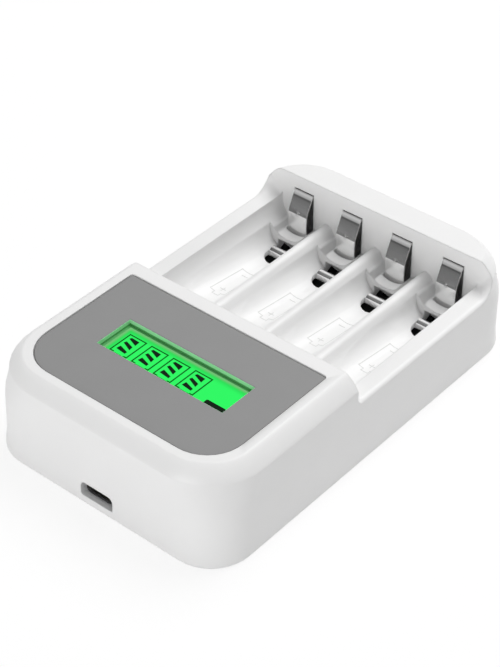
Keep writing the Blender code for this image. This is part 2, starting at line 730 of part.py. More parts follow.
def foot_slots():
    """Return the Y place of each row of contact feet on the main board."""
    return {
        "aa": HEAD_FACE_Y - AA_BEND_STAND_OFF + SHEET / 2,
        "aaa": AAA_STEP_Y - AAA_FOOT_STAND_OFF,
        "plus": DECK_REAR_Y - DECK_REAR_WALL - PLUS_LEG_SET_BACK,
    }


def make_main_board():
    """Make the main board with a slot for each contact foot."""
    board = place("main_board", prism_z(main_board_outline(), BOARD_HEIGHT, BOARD_TOP), "board_black")
    half_y = SHEET / 2 + FOOT_GAP
    slots = []
    for row, y in foot_slots().items():
        width = PLUS_WIDTH if row == "plus" else LEAF_WIDTH
        half_x = width / 2 + FIT
        for centre in BAY_CENTRES:
            low = (centre - half_x, y - half_y, BOARD_HEIGHT - THROUGH)
            high = (centre + half_x, y + half_y, BOARD_TOP + THROUGH)
            slots.append(block(low, high))
    cut(board, "slots", *slots)
    return board


def sheet_outline(line, gauge):
    """Return the closed YZ outline of a bent sheet, from its centre line."""
    left = []
    right = []
    for i, (y, z) in enumerate(line):
        before = line[max(i - 1, 0)]
        after = line[min(i + 1, len(line) - 1)]
        ways = []
        for start, end in ((before, (y, z)), ((y, z), after)):
            length = math.hypot(end[0] - start[0], end[1] - start[1])
            if length:
                ways.append(((end[0] - start[0]) / length, (end[1] - start[1]) / length))
        way = (sum(w[0] for w in ways), sum(w[1] for w in ways))
        size = math.hypot(*way)
        way = (way[0] / size, way[1] / size)
        spread = gauge / 2 / max(0.4, way[0] * ways[0][0] + way[1] * ways[0][1])
        left.append((y - way[1] * spread, z + way[0] * spread))
        right.append((y + way[1] * spread, z - way[0] * spread))
    return left + right[::-1]


def round_bends(line, radius, steps=3):
    """Replace each inner corner of a centre line with a small arc-like run."""
    rounded = [line[0]]
    for i in range(1, len(line) - 1):
        corner = line[i]
        ends = []
        for other in (line[i - 1], line[i + 1]):
            length = math.hypot(other[0] - corner[0], other[1] - corner[1])
            share = min(radius, length / 2.2) / length
            ends.append((corner[0] + share * (other[0] - corner[0]), corner[1] + share * (other[1] - corner[1])))
        for j in range(steps + 1):
            t = j / steps
            a = (1 - t) ** 2
            b = 2 * t * (1 - t)
            c = t**2
            y = a * ends[0][0] + b * corner[0] + c * ends[1][0]
            z = a * ends[0][1] + b * corner[1] + c * ends[1][1]
            rounded.append((y, z))
    rounded.append(line[-1])
    return rounded


def bent_sheet(line, width, centre, bend_radius):
    """Return a bent sheet of one width about a bay's centre."""
    outline = sheet_outline(round_bends(line, bend_radius), SHEET)
    return prism_x(outline, centre - width / 2, centre + width / 2)


def aa_leaf_line():
    """Return the centre line of an AA leaf: upright face, bend, slope back to a rolled tip."""
    face = foot_slots()["aa"]
    wall = HEAD_FACE_Y
    return [
        (face, BOARD_TOP - LEAF_FOOT_DEPTH),
        (face, AA_BEND_HEIGHT),
        (wall - 0.1 * AA_BEND_STAND_OFF, AA_TIP_HEIGHT - 0.3 * HEAD_WALL),
        (wall + 0.25 * AA_BEND_STAND_OFF, AA_TIP_HEIGHT),
        (wall + 0.50 * AA_BEND_STAND_OFF, AA_TIP_HEIGHT - 0.4 * HEAD_WALL),
        (wall + 0.50 * AA_BEND_STAND_OFF, AA_TIP_HEIGHT - 1.4 * HEAD_WALL),
    ]


def aaa_leaf_line():
    """Return the centre line of an AAA leaf, the same form but low in its slot."""
    foot = foot_slots()["aaa"]
    face = AAA_STEP_Y - AAA_BEND_STAND_OFF + SHEET / 2
    span = AAA_BEND_HEIGHT - BOARD_TOP
    tip = face + 0.32 * AAA_BEND_STAND_OFF
    return [
        (foot, BOARD_TOP - LEAF_FOOT_DEPTH),
        (foot, BOARD_TOP + 0.1 * span),
        (face, BOARD_TOP + 0.5 * span),
        (face, AAA_BEND_HEIGHT),
        (tip, AAA_TIP_HEIGHT),
        (tip + 2 * SHEET, AAA_TIP_HEIGHT - 1.5 * SHEET),
    ]


def plus_line():
    """Return the centre line of a fixed contact: leg, flat face in the bay, return edge."""
    leg = foot_slots()["plus"]
    face = DECK_REAR_Y + PLUS_STAND_OFF - SHEET / 2
    return [
        (leg, BOARD_TOP - LEAF_FOOT_DEPTH),
        (leg, PLUS_FACE_LOW),
        (face, PLUS_FACE_LOW),
        (face, PLUS_FACE_HIGH),
        (DECK_REAR_Y - DECK_REAR_WALL / 2, PLUS_FACE_HIGH),
    ]


def dimple(x, y, z, way):
    """Return a small round bump on a contact face, standing out along Y."""
    rings = []
    for share in (-0.6, 0.0, 0.25, 0.4):
        radius = DIMPLE_RADIUS * (1.0 if share < 0 else math.sqrt(1 - (share / 0.45) ** 2))
        rings.append([(px, y + way * share * DIMPLE_RADIUS, pz) for px, pz in disc((x, z), radius, 12)])
    return loft(rings)


def make_contacts():
    """Make the sprung leaves and the fixed contact of each bay."""
    slots = foot_slots()
    for i, centre in enumerate(BAY_CENTRES, 1):
        sheet = bent_sheet(aa_leaf_line(), LEAF_WIDTH, centre, 2 * SHEET)
        leaf = place(f"aa_spring_contact_{i}", sheet, "spring_steel", (centre, slots["aa"], PIVOT_HEIGHT))
        face = slots["aa"] - SHEET / 2
        join(leaf, "dimple", dimple(centre, face, AA_BEND_HEIGHT + DIMPLE_RISE, -1))
        sheet = bent_sheet(aaa_leaf_line(), LEAF_WIDTH, centre, SHEET)
        place(f"aaa_spring_contact_{i}", sheet, "spring_steel", (centre, slots["aaa"], PIVOT_HEIGHT))
        sheet = bent_sheet(plus_line(), PLUS_WIDTH, centre, 2 * SHEET)
        place(f"positive_contact_{i}", sheet, "spring_steel")


def stadium(width, height, centre_z):
    """Return an XZ outline with round ends."""
    low = (-width / 2, centre_z - height / 2)
    high = (width / 2, centre_z + height / 2)
    return rounded_outline(low, high, [height / 2 - FIT / 10] * 4, 4)


def make_inlet():
    """Make the inlet's steel shell and its moulded tongue."""
    front = -HALF_LENGTH + SHELL_RECESS
    rear = front + SHELL_LENGTH
    z = INLET_HEIGHT_Z
    shell = place("usb_shell", prism_y(stadium(SHELL_WIDTH, SHELL_HEIGHT, z), front, rear), "zinc_steel")
    hollow = stadium(SHELL_WIDTH - 2 * SHELL_GAUGE, SHELL_HEIGHT - 2 * SHELL_GAUGE, z)
    ear_low = BOARD_TOP + FIT
    ears = []
    for side in (-1, 1):
        x0 = side * (SHELL_WIDTH / 2 - SHELL_HEIGHT / 3)
        x1 = side * (SHELL_WIDTH / 2 + SHELL_EAR)
        low = (min(x0, x1), rear - SHELL_EAR * 2, ear_low)
        high = (max(x0, x1), rear - SHELL_EAR, ear_low + SHELL_GAUGE)
        ears.append(block(low, high))
    join(shell, "ears", *ears)
    cut(shell, "bore", prism_y(hollow, front - THROUGH, rear + THROUGH))
    gap = SHELL_GAUGE + FIT
    base = stadium(SHELL_WIDTH - 2 * gap, SHELL_HEIGHT - 2 * gap, z)
    base_front = rear - SHELL_LENGTH / 4
    tongue = place("usb_tongue", prism_y(base, base_front, rear), "chip_black")
    low = (-TONGUE_WIDTH / 2, front + TONGUE_RECESS, z - TONGUE_THICKNESS / 2)
    high = (TONGUE_WIDTH / 2, base_front + FIT * 2, z + TONGUE_THICKNESS / 2)
    join(tongue, "blade", block(low, high))


def chip(name, centre, size, bottom):
    """Make a chamfered chip body."""
    low = (centre[0] - size[0] / 2, centre[1] - size[1] / 2, bottom)
    high = (centre[0] + size[0] / 2, centre[1] + size[1] / 2, bottom + size[2])
    body = block(low, high)
    bmesh.ops.bevel(body, geom=body.edges[:], offset=CHIP_CHAMFER, segments=1, affect="EDGES")
    return place(name, body, "chip_black")


def turned(name, centre, profile, finish, steps=24):
    """Make a turned body from radius and height pairs."""
    rings = [[(x, y, z) for x, y in disc(centre, radius, steps)] for radius, z in profile]
    return place(name, loft(rings), finish)


def make_board_parts():
    """Make the parts that stand on the main board and hang under the display board."""
    seat = BOARD_TOP + FIT
    under = DISPLAY_BOARD_BOTTOM - FIT
    middle = WINDOW_CENTRE_Y
    chip("controller_chip", (WINDOW_OFFSET_X, middle), CHIP_SIZE, under - CHIP_SIZE[2])
    inlet_rear = -HALF_LENGTH + SHELL_RECESS + SHELL_LENGTH
    row = inlet_rear + CONVERTER_SIZE[1]
    chip("converter_chip", (0.0, row), CONVERTER_SIZE, seat)
    plus_row = foot_slots()["plus"]
    transistor_row = plus_row - TRANSISTOR_GAP - TRANSISTOR_SIZE[1] / 2
    for i, centre in enumerate(BAY_CENTRES, 1):
        chip(f"charge_transistor_{i}", (centre, transistor_row), TRANSISTOR_SIZE, seat)
    side = CONVERTER_SIZE[0] / 2 + INDUCTOR_SIZE
    core = INDUCTOR_SIZE / 2
    wind = core * 0.92
    rise = INDUCTOR_HEIGHT
    profile = [(core, seat), (core, seat + 0.2 * rise), (wind, seat + 0.25 * rise)]
    profile += [(wind, seat + 0.75 * rise), (core, seat + 0.8 * rise), (core, seat + rise)]
    turned("power_inductor", (side, row), profile, "ferrite")
    can = CAPACITOR_RADIUS
    tall = CAPACITOR_HEIGHT
    profile = [(can, seat), (can, seat + 0.15 * tall), (can * 0.92, seat + 0.19 * tall)]
    profile += [(can, seat + 0.23 * tall), (can, seat + 0.95 * tall), (can * 0.93, seat + tall)]
    for i in (1, 2):
        place_x = -CONVERTER_SIZE[0] / 2 - (2 * i - 0.5) * can * 1.15
        turned(f"capacitor_{i}", (place_x, row), profile, "can_aluminium")
    make_header(seat, under, middle)


def make_header(low, high, middle):
    """Make the pin strip that joins the two boards: two bars and a row of square pins."""
    length = HEADER_PINS * HEADER_PITCH
    x0 = WINDOW_OFFSET_X - length / 2
    y = middle + GLASS_LENGTH / 2 + HEADER_DEPTH / 2
    y0 = y - HEADER_DEPTH / 2
    y1 = y + HEADER_DEPTH / 2
    strip = block((x0, y0, low), (x0 + length, y1, low + HEADER_STRIP))
    header = place("board_header", strip, "chip_black")
    parts = [block((x0, y0, high - HEADER_STRIP), (x0 + length, y1, high))]
    overlap = HEADER_STRIP / 2
    half = PIN_SIZE / 2
    for i in range(HEADER_PINS):
        x = x0 + HEADER_PITCH * (i + 0.5)
        parts.append(block((x - half, y - half, low + overlap), (x + half, y + half, high - overlap)))
    join(header, "pins", *parts)


def main():
    """Build the charger."""
    clear_scene()
    make_upper_housing()
    make_base_cover()
    for index, (x, y) in enumerate(SCREW_PLACES, 1):
        make_screw(index, x, y)
    make_display()
    make_main_board()
    make_contacts()
    make_inlet()
    make_board_parts()


main()
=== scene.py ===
"""Looks of the four-bay charger: finishes, display, moulded marks, contacts, studio and camera.

Every length is in metres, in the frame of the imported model: +Y towards the head with the
sprung contacts, +Z up, the origin in the middle of the footprint.
"""

import json
import logging
import math
from dataclasses import dataclass
from enum import Enum

import bmesh
import bpy
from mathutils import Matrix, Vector
from mathutils.bvhtree import BVHTree

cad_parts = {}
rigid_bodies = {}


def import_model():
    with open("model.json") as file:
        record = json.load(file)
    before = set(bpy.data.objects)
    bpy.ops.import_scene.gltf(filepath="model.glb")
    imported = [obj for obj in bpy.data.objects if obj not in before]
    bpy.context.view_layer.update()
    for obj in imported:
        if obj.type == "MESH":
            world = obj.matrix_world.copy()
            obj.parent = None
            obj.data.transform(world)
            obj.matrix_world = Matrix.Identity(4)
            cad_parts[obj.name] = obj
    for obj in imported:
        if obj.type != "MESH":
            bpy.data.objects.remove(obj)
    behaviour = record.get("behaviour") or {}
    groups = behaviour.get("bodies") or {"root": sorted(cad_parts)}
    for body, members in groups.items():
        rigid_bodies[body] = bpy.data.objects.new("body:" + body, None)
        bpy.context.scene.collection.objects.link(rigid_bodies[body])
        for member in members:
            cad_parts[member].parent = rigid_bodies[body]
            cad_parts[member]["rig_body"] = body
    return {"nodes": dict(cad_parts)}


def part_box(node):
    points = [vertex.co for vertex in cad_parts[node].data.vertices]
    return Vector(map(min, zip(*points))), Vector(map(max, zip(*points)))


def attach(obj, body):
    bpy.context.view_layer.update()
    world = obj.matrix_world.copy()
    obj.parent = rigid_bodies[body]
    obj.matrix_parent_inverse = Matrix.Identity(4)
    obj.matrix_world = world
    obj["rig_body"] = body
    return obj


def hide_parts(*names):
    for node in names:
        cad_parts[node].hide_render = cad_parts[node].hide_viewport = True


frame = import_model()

LOG = logging.getLogger("charger")
CASE = "case"
BAYS = (1, 2, 3, 4)
MM = 0.001
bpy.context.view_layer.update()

# The values of a noise texture between which nearly all of it lies, and the layers of a fine one.
NOISE_LOW, NOISE_HIGH = 0.3, 0.7
FINE_DETAIL = 3.0
# Rays that find an edge to be softened.
EDGE_SAMPLES = 4
# Width of the faint clouds in a finish's colour, and the share by which its roughness varies.
CLOUD_SIZE = 9 * MM
ROUGHNESS_SPREAD = 0.12
# Upward share of the normal from which a face counts as a slope that takes the painted reflections,
# and below which it does not.
SLOPE_CLEAR, SLOPE_UNDER = 0.1, -0.05
# Vertices nearer than this are welded, and faces flatter than this many degrees become one.
WELD = 0.0005 * MM
FLAT_DEGREES = 0.3
# How much the large faces lead in the shading of a skin, of 100.
FACE_WEIGHT = 90

Colour = tuple[float, float, float]
Point2 = tuple[float, float]
Point3 = tuple[float, float, float]


def from_screen(red: int, green: int, blue: int) -> Colour:
    """Turn a colour as a screen shows it into the linear one that a shader takes.

    Args:
        red: Red, 0 to 255.
        green: Green, 0 to 255.
        blue: Blue, 0 to 255.

    Returns:
        The linear colour.
    """

    def linear(value: int) -> float:
        """Undo the screen's curve for one channel."""
        share = value / 255
        return share / 12.92 if share <= 0.04045 else ((share + 0.055) / 1.055) ** 2.4

    return linear(red), linear(green), linear(blue)


class Grain(Enum):
    """How the surface of a finish is textured."""

    MOULDED = "moulded"
    BRUSHED = "brushed"
    PLATED = "plated"
    WOVEN = "woven"


class Graph:
    """A node material while it is being wired."""

    def __init__(self, name: str) -> None:
        """Start an empty material.

        Args:
            name: The material's name.
        """
        self.material = bpy.data.materials.new(name)
        self.material.use_nodes = True
        self.nodes = self.material.node_tree.nodes
        self.links = self.material.node_tree.links
        self.shader = self.nodes["Principled BSDF"]
        self.place = self.add("ShaderNodeTexCoord").outputs["Object"]

    def add(self, kind: str, **settings: object) -> bpy.types.Node:
        """Add a node.

        Args:
            kind: The node's type name.
            **settings: Properties set on the node itself.

        Returns:
            The new node.
        """
        node = self.nodes.new(kind)
        for key, value in settings.items():
            setattr(node, key, value)
        return node

    def scaled(self, stretch: Point3) -> bpy.types.NodeSocket:
        """Stretch the object's own coordinates.

        Args:
            stretch: The factor along each axis.

        Returns:
            The stretched coordinates.
        """
        mapping = self.add("ShaderNodeMapping")
        mapping.inputs["Scale"].default_value = stretch
        self.links.new(self.place, mapping.inputs["Vector"])
        return mapping.outputs["Vector"]

    def noise(
        self, size: float, detail: float = 2.0, stretch: Point3 = (1, 1, 1)
    ) -> bpy.types.NodeSocket:
        """Add a noise texture.

        Args:
            size: The width of one blotch, in metres.
            detail: How many finer layers lie on it.
            stretch: Factors on the coordinates, above 1 where the pattern is finer.

        Returns:
            The noise value, about 0.5 on average.
        """
        texture = self.add("ShaderNodeTexNoise")
        texture.inputs["Scale"].default_value = 1 / size
        texture.inputs["Detail"].default_value = detail
        self.links.new(self.scaled(stretch), texture.inputs["Vector"])
        return texture.outputs["Fac"]

    def spread(self, value: bpy.types.NodeSocket, low: float, high: float) -> bpy.types.NodeSocket:
        """Stretch a noise value over a new range.

        Args:
            value: The value, mostly within the noise's whole range.
            low: What the low end of that range becomes.
            high: What its high end becomes.

        Returns:
            The new value.
        """
        node = self.add("ShaderNodeMapRange")
        span = {"From Min": NOISE_LOW, "From Max": NOISE_HIGH, "To Min": low, "To Max": high}
        for key, number in span.items():
            node.inputs[key].default_value = number
        self.links.new(value, node.inputs["Value"])
        return node.outputs["Result"]

    def facing(self, clear: float, under: float) -> bpy.types.NodeSocket:
        """Tell the faces that look up at a slant from everything else.

        Args:
            clear: Upward share of the normal from which a face counts.
            under: Share below which it does not.

        Returns:
            0 on such a face, 1 elsewhere.
        """
        axes = self.add("ShaderNodeSeparateXYZ")
        normal = self.add("ShaderNodeTexCoord").outputs["Normal"]
        self.links.new(normal, axes.inputs["Vector"])
        ramp = self.add("ShaderNodeMapRange", interpolation_type="SMOOTHSTEP")
        ramp.inputs["From Min"].default_value = clear
        ramp.inputs["From Max"].default_value = under
        self.links.new(axes.outputs["Z"], ramp.inputs["Value"])
        return ramp.outputs["Result"]

    def banded(self, painted_reflection_bands: tuple[Point2, ...]) -> bpy.types.NodeSocket:
        """Give grey levels by height.

        Args:
            painted_reflection_bands: Heights, in metres and rising, each with its grey level.

        Returns:
            The colour.
        """
        low, high = painted_reflection_bands[0][0], painted_reflection_bands[-1][0]
        axes = self.add("ShaderNodeSeparateXYZ")
        self.links.new(self.place, axes.inputs["Vector"])
        share = self.add("ShaderNodeMapRange")
        share.inputs["From Min"].default_value = low
        share.inputs["From Max"].default_value = high
        self.links.new(axes.outputs["Z"], share.inputs["Value"])
        ramp = self.add("ShaderNodeValToRGB")
        stops = ramp.color_ramp.elements
        for height, grey in painted_reflection_bands:
            if height in (low, high):
                stop = stops[0 if height == low else -1]
            else:
                stop = stops.new((height - low) / (high - low))
            stop.color = (grey, grey, grey, 1)
        self.links.new(share.outputs["Result"], ramp.inputs["Fac"])
        return ramp.outputs["Color"]

    def blend(
        self,
        share: bpy.types.NodeSocket,
        first: Colour | bpy.types.NodeSocket,
        second: Colour | bpy.types.NodeSocket,
    ) -> bpy.types.NodeSocket:
        """Mix two colours.

        Args:
            share: How much of the second colour shows.
            first: The first colour, or a socket that gives it.
            second: The second colour, or a socket that gives it.

        Returns:
            The mixed colour.
        """
        node = self.add("ShaderNodeMix", data_type="RGBA")
        self.links.new(share, node.inputs["Factor"])
        for side, colour in (("A", first), ("B", second)):
            if isinstance(colour, bpy.types.NodeSocket):
                self.links.new(colour, node.inputs[side])
            else:
                node.inputs[side].default_value = (*colour, 1)
        return node.outputs["Result"]

    def relief(
        self, height: bpy.types.NodeSocket, depth: float, edge_radius: float
    ) -> bpy.types.NodeSocket:
        """Turn a height into a surface normal, over edges softened by a small radius.

        Args:
            height: The height, 0 to 1.
            depth: How deep the relief is, in metres.
            edge_radius: The radius of the softened edges, in metres, or 0 for none.

        Returns:
            The normal.
        """
        bump = self.add("ShaderNodeBump")
        bump.inputs["Distance"].default_value = depth
        self.links.new(height, bump.inputs["Height"])
        if edge_radius:
            edge = self.add("ShaderNodeBevel", samples=EDGE_SAMPLES)
            edge.inputs["Radius"].default_value = edge_radius
            self.links.new(edge.outputs["Normal"], bump.inputs["Normal"])
        return bump.outputs["Normal"]


@dataclass(frozen=True)
class Finish:
    """One finish of a piece: its colour, gloss and fine surface.

    Attributes:
        slot: The record's material slot that it belongs to; not used.
        colour: Base colour, linear.
        roughness: Mean roughness.
        metallic: 1 for bare metal.
        grain: The kind of fine surface.
        grain_size: The width of the grain, in metres.
        depth: The depth of the grain, in metres.
        tint: Share by which the colour varies over the surface.
        edge_radius: Radius at which edges catch light, in metres.
        shine: Level of the gloss on its surface.
        painted_reflection_bands: Heights and grey levels on the upward slope of a leaf, from its
            bend to its rolled tip. They stand for what the leaf mirrors in the photo.
    """

    slot: str
    colour: Colour
    roughness: float
    metallic: float = 0.0
    grain: Grain = Grain.MOULDED
    grain_size: float = 0.25 * MM
    depth: float = 0.002 * MM
    tint: float = 0.02
    edge_radius: float = 0.0
    shine: float = 0.5
    painted_reflection_bands: tuple[Point2, ...] = ()

    def stretch(self) -> Point3:
        """Return how the grain is stretched along X, Y and Z."""
        return {
            Grain.MOULDED: (1, 1, 1),
            Grain.BRUSHED: (0.04, 1, 1),
            Grain.PLATED: (1, 1, 1),
            Grain.WOVEN: (1, 1, 0.2),
        }[self.grain]

    def build(self, name: str) -> bpy.types.Material:
        """Wire the finish as a node material.

        Args:
            name: The material's name.

        Returns:
            The material.
        """
        graph = Graph(name)
        shader = graph.shader
        shader.inputs["Metallic"].default_value = self.metallic
        shader.inputs["Specular IOR Level"].default_value = self.shine
        cloudy = graph.spread(graph.noise(CLOUD_SIZE, FINE_DETAIL), 0.0, 1.0)
        darker = tuple(channel * (1 - self.tint) for channel in self.colour)
        colour = graph.blend(cloudy, darker, self.colour)
        # Painted reflections: on upward slopes, grey stripes by height replace the colour, standing
        # for the dark slope and bright tip that the leaf mirrors.
        if self.painted_reflection_bands:
            share = graph.facing(SLOPE_CLEAR, SLOPE_UNDER)
            colour = graph.blend(share, graph.banded(self.painted_reflection_bands), colour)
        graph.links.new(colour, shader.inputs["Base Color"])
        fine = graph.noise(self.grain_size, FINE_DETAIL, self.stretch())
        low = self.roughness * (1 - ROUGHNESS_SPREAD)
        high = self.roughness * (1 + ROUGHNESS_SPREAD)
        graph.links.new(graph.spread(fine, low, high), shader.inputs["Roughness"])
        normal = graph.relief(fine, self.depth, self.edge_radius)
        graph.links.new(normal, shader.inputs["Normal"])
        return graph.material


@dataclass(frozen=True)
class DisplayGlow:
    """The lit face of the display, with the shade that the deep window throws on its far edges
    painted into its glow, and a pale rim inside them painted as a reflection.

    Attributes:
        slot: The record's material slot; not used.
        lit: Colour of the open field, linear.
        shaded: Colour of the painted shade beside the far edges, linear.
        rim: Colour of the pale rim inside the far border, a painted reflection, linear.
        far_y: Y of the far border's inner edge, in metres.
        left_x: X of the left border's inner edge, in metres.
        fade: How far the shade reaches, in metres.
        rim_width: Width of the pale rim, in metres.
        glow: Strength of the light.
        unlit: Colour of the cell itself, linear.
        gloss: Level of the gloss on its glass.
        haze: Width of the fine haze on the glass, in metres.
        smooth: Lowest and highest roughness of the glass.
    """

    slot: str
    lit: Colour
    shaded: Colour
    rim: Colour
    far_y: float
    left_x: float
    fade: float
    rim_width: float
    glow: float = 0.95
    unlit: Colour = (0.005, 0.02, 0.008)
    gloss: float = 0.15
    haze: float = 0.4 * MM
    smooth: Point2 = (0.18, 0.26)

    def inside(self, graph: Graph, reach: float, soft: str) -> bpy.types.NodeSocket:
        """Tell how far a spot lies inside the two far borders.

        Args:
            graph: The material being wired.
            reach: The distance at which a spot is wholly inside, in metres.
            soft: The kind of ramp between.

        Returns:
            0 at a border, 1 inside.
        """
        axes = graph.add("ShaderNodeSeparateXYZ")
        graph.links.new(graph.place, axes.inputs["Vector"])
        both = graph.add("ShaderNodeMath", operation="MULTIPLY")
        for index, (axis, edge, way) in enumerate((("Y", self.far_y, -1), ("X", self.left_x, 1))):
            ramp = graph.add("ShaderNodeMapRange", interpolation_type=soft)
            ramp.inputs["From Min"].default_value = edge
            ramp.inputs["From Max"].default_value = edge + way * reach
            graph.links.new(axes.outputs[axis], ramp.inputs["Value"])
            graph.links.new(ramp.outputs["Result"], both.inputs[index])
        return both.outputs["Value"]

    def build(self, name: str) -> bpy.types.Material:
        """Wire the glow as a node material.

        Args:
            name: The material's name.

        Returns:
            The material.
        """
        graph = Graph(name)
        shader = graph.shader
        # Painted shade along the far edges, and a pale painted reflection as a rim just inside
        # them.
        field = graph.blend(self.inside(graph, self.fade, "SMOOTHERSTEP"), self.shaded, self.lit)
        seen = graph.blend(self.inside(graph, self.rim_width, "SMOOTHSTEP"), self.rim, field)
        graph.links.new(seen, shader.inputs["Emission Color"])
        shader.inputs["Specular IOR Level"].default_value = self.gloss
        shader.inputs["Emission Strength"].default_value = self.glow
        shader.inputs["Base Color"].default_value = (*self.unlit, 1)
        rough = graph.spread(graph.noise(self.haze), *self.smooth)
        graph.links.new(rough, shader.inputs["Roughness"])
        return graph.material


class Paint:
    """The finishes of the charger, each made once."""

    def __init__(self) -> None:
        """List the finishes by name."""
        sprung = (
            (0.93, 0.93, 0.925), 0.22, 1.0, Grain.BRUSHED, 0.22 * MM, 0.0012 * MM, 0.06, 0.06 * MM
        )
        self.finishes: dict[str, Finish | DisplayGlow] = {
            "gloss_white": Finish(
                "housing_white", (0.865, 0.864, 0.862), 0.40, tint=0.012, edge_radius=0.5 * MM
            ),
            "satin_white": Finish(
                "base_white", (0.83, 0.829, 0.827), 0.45, grain_size=0.35 * MM, depth=0.004 * MM,
                tint=0.02, edge_radius=0.2 * MM,
            ),
            "panel_paint": Finish(
                "panel_grey", from_screen(135, 135, 135), 0.5, grain_size=0.18 * MM,
                depth=0.0015 * MM, tint=0.03, edge_radius=0.12 * MM,
            ),
            # Painted shade: the grey of the signs in the white moulding stands for the shadow along
            # their lines.
            "mark_painted_shade": Finish(
                "housing_white", from_screen(214, 214, 213), 0.4, tint=0.05,
            ),
            # The glow carries painted shade on its far edges and a pale rim that is a painted
            # reflection.
            "display_glow": DisplayGlow(
                "display_green", from_screen(18, 249, 92), from_screen(2, 212, 72),
                from_screen(122, 190, 122), -26.04 * MM, -17.99 * MM, 2.9 * MM, 1.2 * MM,
            ),
            # Painted light: the pale green sheet on the window's walls stands for the display's
            # glow falling on them.
            "window_painted_glow": Finish(
                "light_guide", from_screen(176, 236, 190), 0.45, tint=0.06,
            ),
            # Painted shade: the dark green border stands for the shade at the foot of the window's
            # walls.
            "display_painted_shade": Finish(
                "light_guide", from_screen(94, 172, 104), 0.4, tint=0.08, shine=0.2,
            ),
            "segment_black": Finish(
                "chip_black", from_screen(4, 26, 8), 0.6, tint=0.2, shine=0.05,
            ),
            "segment_green": Finish(
                "chip_black", from_screen(0, 96, 20), 0.6, tint=0.1, shine=0.05,
            ),
            "spring_sheet": Finish("contact_steel", *sprung),
            # Painted reflections: grey stripes by height on the large leaf's upward slopes.
            "large_leaf_painted_reflections": Finish(
                "contact_steel", *sprung, painted_reflection_bands=(
                    (17.45 * MM, 0.93), (17.62 * MM, 0.23), (21.5 * MM, 0.14), (21.75 * MM, 0.07),
                    (21.95 * MM, 0.08), (22.2 * MM, 0.34), (22.85 * MM, 0.5), (23.1 * MM, 0.32),
                    (23.3 * MM, 0.4),
                ),
            ),
            # Painted reflections on the small leaf, with a painted highlight at its rolled tip.
            "small_leaf_painted_reflections": Finish(
                "contact_steel", *sprung, painted_reflection_bands=(
                    (8.95 * MM, 0.93), (9.0 * MM, 0.15), (9.42 * MM, 0.2), (9.55 * MM, 0.7),
                    (9.7 * MM, 0.8),
                ),
            ),
            "inlet_sheet": Finish(
                "inlet_steel", (0.62, 0.62, 0.63), 0.28, 1.0, Grain.BRUSHED, 0.2 * MM,
                0.001 * MM, 0.06, 0.05 * MM,
            ),
            "screw_zinc": Finish(
                "screw_steel", (0.64, 0.64, 0.65), 0.32, 1.0, Grain.PLATED, 0.3 * MM,
                0.002 * MM, 0.1, 0.06 * MM,
            ),
            "pad_gold": Finish(
                "contact_steel", (0.85, 0.62, 0.28), 0.25, 1.0, Grain.PLATED, 0.2 * MM,
                0.001 * MM, 0.05,
            ),
            "tongue_resin": Finish(
                "tongue_black", (0.03, 0.03, 0.032), 0.45, tint=0.15, depth=0.003 * MM,
            ),
            "solder_mask": Finish(
                "board_black", (0.03, 0.032, 0.031), 0.38, grain=Grain.WOVEN, grain_size=0.5 * MM,
                tint=0.2,
            ),
            "chip_resin": Finish(
                "chip_black", (0.025, 0.025, 0.027), 0.55, tint=0.2, depth=0.006 * MM,
            ),
            "ferrite_core": Finish(
                "ferrite_grey", (0.09, 0.09, 0.1), 0.6, tint=0.25, depth=0.008 * MM,
            ),
            "drawn_can": Finish(
                "can_aluminium", (0.76, 0.76, 0.77), 0.3, 1.0, Grain.BRUSHED, 0.25 * MM,
                0.001 * MM, 0.05,
            ),
            "milky_guide": Finish(
                "light_guide", (0.78, 0.86, 0.79), 0.4, tint=0.04,
            ),
        }
        self.made: dict[str, bpy.types.Material] = {}

    def dress(self, piece: bpy.types.Object, name: str) -> None:
        """Give a piece one finish.

        Args:
            piece: The piece.
            name: The finish's name.
        """
        if name not in self.made:
            self.made[name] = self.finishes[name].build(name)
        piece.data.materials.clear()
        piece.data.materials.append(self.made[name])


PAINT = Paint()


def report(piece: bpy.types.Object) -> bpy.types.Object:
    """Log a piece and hand it back.

    Args:
        piece: The piece.

    Returns:
        The same piece.
    """
    LOG.info("%s: %d faces", piece.name, len(piece.data.polygons))
    return piece


def piece_of(name: str, bm: bmesh.types.BMesh, finish: str, body: str = CASE) -> bpy.types.Object:
    """Make a piece of a mesh under construction and let it ride on a body.

    Args:
        name: The piece's name.
        bm: The mesh, in the frame of the whole charger. It is freed.
        finish: The finish's name.
        body: The body that the piece rides on.

    Returns:
        The piece.
    """
    mesh = bpy.data.meshes.new(name)
    bm.to_mesh(mesh)
    bm.free()
    made = bpy.data.objects.new(name, mesh)
    bpy.context.scene.collection.objects.link(made)
    PAINT.dress(made, finish)
    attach(made, body)
    return report(made)


def skin(node: str, finish: str, sharp: float = 32.0) -> bpy.types.Object:
    """Make the smooth, welded skin that stands for one CAD node.

    Args:
        node: The CAD node's name.
        finish: The finish's name.
        sharp: The angle from which an edge stays crisp, in degrees.

    Returns:
        The skin.
    """
    source = frame["nodes"][node]
    bm = bmesh.new()
    bm.from_mesh(source.data)
    bmesh.ops.remove_doubles(bm, verts=bm.verts, dist=WELD)
    flat = math.radians(FLAT_DEGREES)
    bmesh.ops.dissolve_limit(bm, angle_limit=flat, verts=bm.verts, edges=bm.edges)
    made = piece_of(f"{node}_skin", bm, finish, source["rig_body"])
    made.data.shade_smooth()
    made.data.set_sharp_from_angle(angle=math.radians(sharp))
    weighted = made.modifiers.new("even_normals", "WEIGHTED_NORMAL")
    weighted.keep_sharp = True
    weighted.weight = FACE_WEIGHT
    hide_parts(node)
    return made


